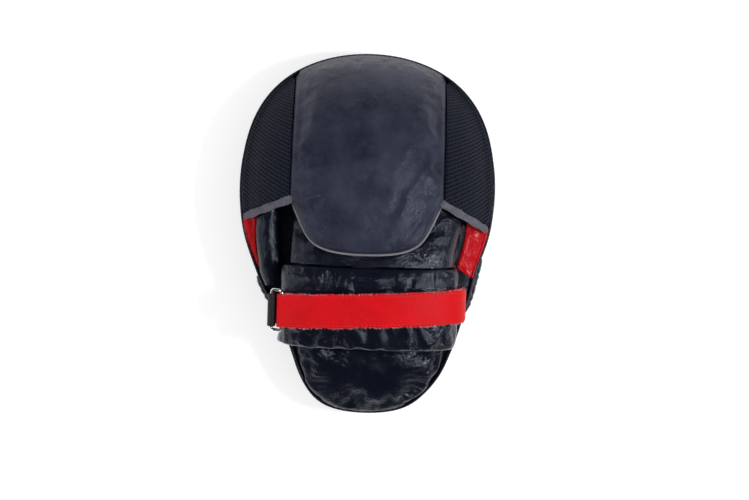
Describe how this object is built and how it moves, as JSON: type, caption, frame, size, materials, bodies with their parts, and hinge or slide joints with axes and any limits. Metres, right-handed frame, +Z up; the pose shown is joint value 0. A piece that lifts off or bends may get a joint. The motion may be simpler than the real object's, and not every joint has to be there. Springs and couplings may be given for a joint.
{
  "type": "focus mitt",
  "caption": "Curved boxing focus mitt with padded hood, mesh sides, finger stalls, padded wrist cuff, and a hook and loop strap through a wire ring.",
  "frame": {"origin": "on the table under the middle of the mitt's bounding box, with the strike face down", "axes": "+Y from the heel to the fingertips, +Z up to the back of the hand, +X away from the thumb"},
  "size_m": [0.19, 0.2698, 0.1016],
  "materials": {
    "leather_black": "gloss",
    "leather_charcoal": "satin",
    "leather_red": "satin",
    "mesh_black": "matte",
    "binding_grey": "matte",
    "foam": "matte",
    "gel": "gloss",
    "lining": "matte",
    "chrome": "polished",
    "hook_loop": "matte"
  },
  "bodies": {
    "mitt": {"strike_cover": "leather_black", "gel_sheet": "gel", "impact_foam": "foam", "comfort_foam": "foam", "back_panel": "leather_black", "rim_piping": "leather_black", "heel_cushion": "leather_black", "palm_grip": "leather_black", "finger_stall_1": "lining", "finger_stall_2": "lining", "finger_stall_3": "lining", "finger_stall_4": "lining", "thumb_stall": "leather_black", "thumb_divider": "lining", "hand_sleeve": "leather_black", "cuff_cover": "leather_black", "cuff_foam": "foam", "cuff_lining": "lining", "hood_panel_cover": "leather_charcoal", "hood_panel_gel": "gel", "hood_panel_foam": "foam", "hood_panel_lining": "lining", "mesh_left": "mesh_black", "mesh_right": "mesh_black", "mesh_binding_left": "binding_grey", "mesh_binding_right": "binding_grey", "red_panel_left": "leather_red", "red_panel_right": "leather_red", "side_tab_left": "leather_black", "side_tab_right": "leather_black", "ring_anchor": "leather_black", "strap_under": "leather_red", "loop_patch": "hook_loop"},
    "tongue": {"tongue_cover": "leather_charcoal", "tongue_foam": "foam", "tongue_lining": "lining", "tongue_piping": "binding_grey"},
    "ring": {"ring": "chrome"},
    "strap_root": {"strap_fold": "leather_red", "strap_root": "leather_red"},
    "strap_tip": {"strap_tip": "leather_red", "hook_patch": "hook_loop"}
  },
  "joints": [
    {"name": "tongue_lift", "type": "hinge", "parent": "mitt", "child": "tongue", "pos_m": [0, 0.0245, 0.10092], "axis": [-1, 0, 0], "range_deg": [0, 35]},
    {"name": "ring_swivel", "type": "hinge", "parent": "mitt", "child": "ring", "pos_m": [-0.06704, -0.0583, 0.07924], "axis": [0, -0.9927, -0.1208], "range_deg": [0, 30]},
    {"name": "strap_peel", "type": "hinge", "parent": "ring", "child": "strap_root", "pos_m": [-0.05995, -0.05875, 0.08291], "axis": [0, -0.9927, -0.1208], "range_deg": [0, 115], "deforming": ["strap_fold"]},
    {"name": "strap_straighten", "type": "hinge", "parent": "strap_root", "child": "strap_tip", "pos_m": [0.004, -0.05706, 0.09832], "axis": [0, -0.9927, -0.1208], "range_deg": [0, 60]}
  ],
  "couplings": [
    {"joint": "strap_straighten", "follows": "strap_peel", "ratio": 0.5217}
  ]
}
